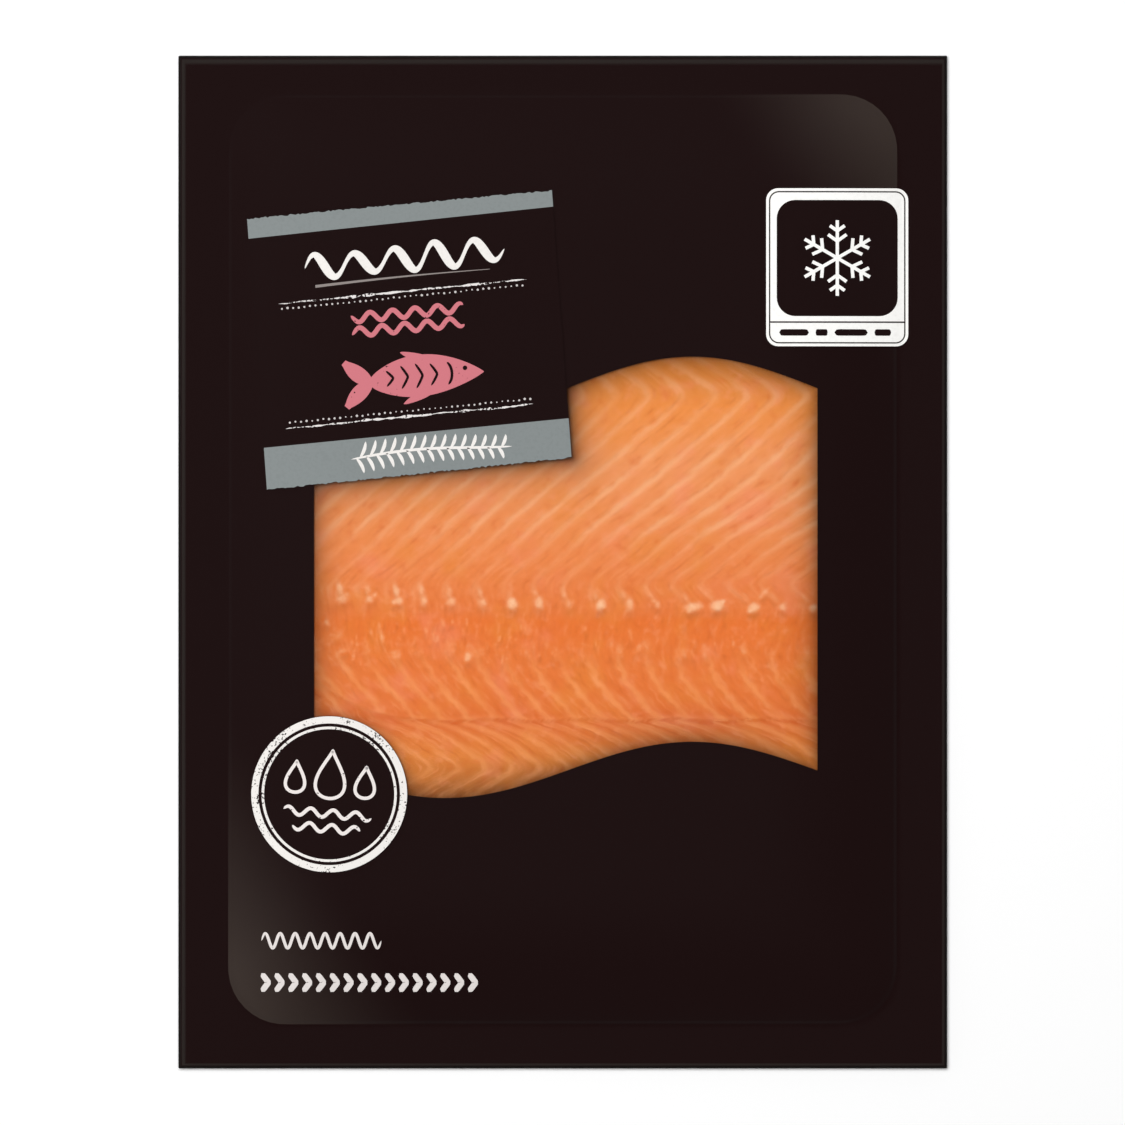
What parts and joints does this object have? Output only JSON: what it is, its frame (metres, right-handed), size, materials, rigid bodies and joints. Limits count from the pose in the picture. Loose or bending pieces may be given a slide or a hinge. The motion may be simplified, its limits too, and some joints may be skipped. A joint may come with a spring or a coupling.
{
  "type": "pack of smoked salmon",
  "caption": "Flat board-backed retail pack of smoked fish slices, with a wavy clear window, a tilted label, a round badge and a corner panel.",
  "frame": {"origin": "middle of the underside of the backing board", "axes": "+X to the pack's right, +Y to its top edge, +Z out of its printed front; it lies on its back"},
  "size_m": [0.167, 0.22, 0.0072],
  "materials": {
    "board": "black coated board",
    "print": "black printed film, satin",
    "fish": "moist smoked salmon",
    "film": "clear plastic film",
    "label": "printed black, grey, pink and white",
    "badge": "printed white and black",
    "panel": "printed white and black"
  },
  "bodies": {
    "root": {"backing_board": "board", "pack_front": "print", "salmon_slices": "fish", "window_film": "film", "label": "label", "round_badge": "badge", "corner_panel": "panel"}
  },
  "joints": []
}
